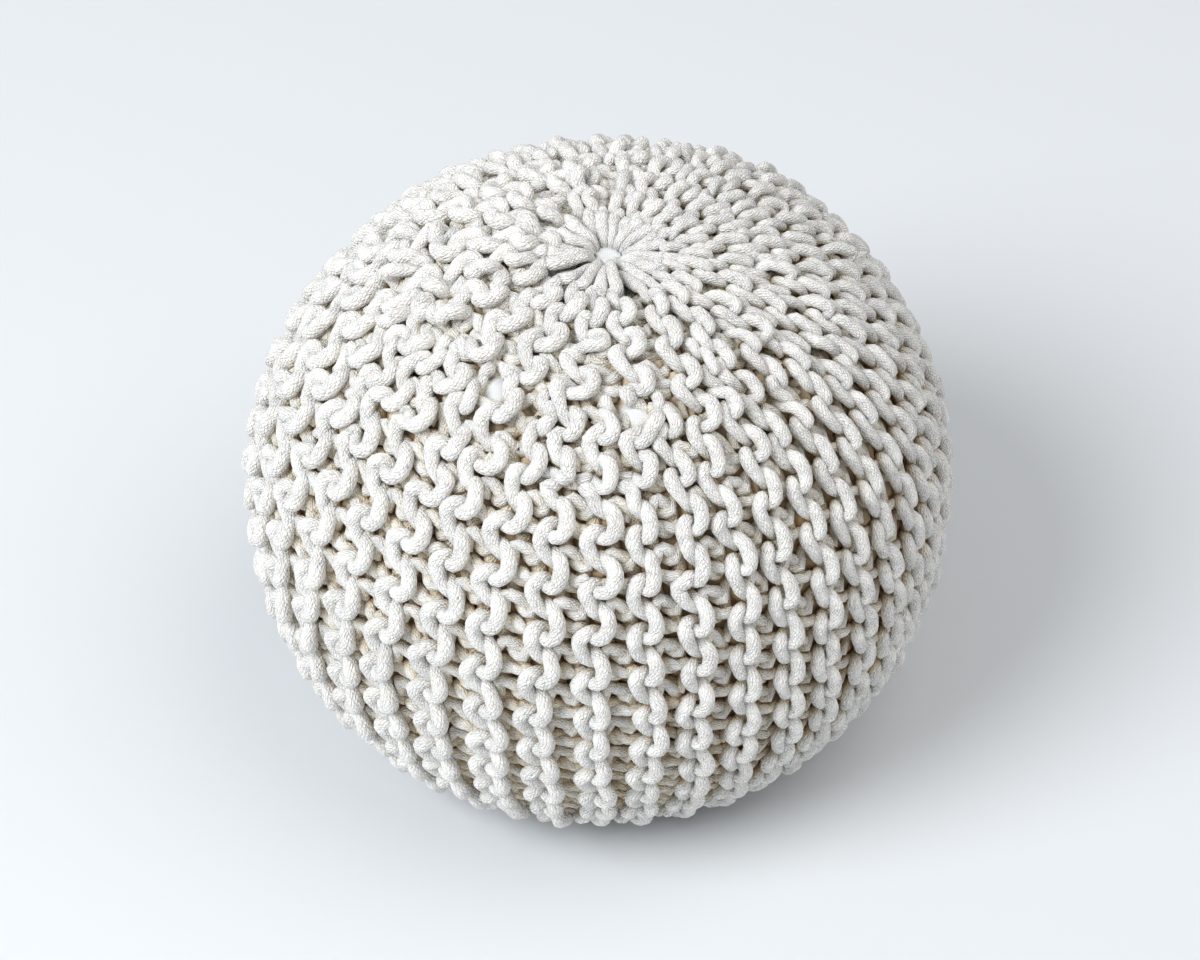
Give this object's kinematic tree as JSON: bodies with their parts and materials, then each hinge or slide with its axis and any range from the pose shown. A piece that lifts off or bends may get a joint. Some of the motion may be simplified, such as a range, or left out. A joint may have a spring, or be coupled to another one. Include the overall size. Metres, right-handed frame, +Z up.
{
  "type": "knitted pouf",
  "caption": "Round floor pouf in chunky garter-stitch cotton cord, ridges running from a drawn-up gather at the crown down to a flat base, over a filled lining bag.",
  "frame": {"origin": "on the floor, under the middle of the pouf", "axes": "+Z up through the crown, -Y towards the front, +X to the right seen from the front"},
  "size_m": [0.42, 0.42, 0.3347],
  "materials": {
    "cotton_cord": "matte undyed braided cotton cord, knitted",
    "lining_cotton": "plain white woven cotton"
  },
  "bodies": {
    "root": {"knitted_cover": "cotton_cord", "lining_bag": "lining_cotton"}
  },
  "joints": []
}
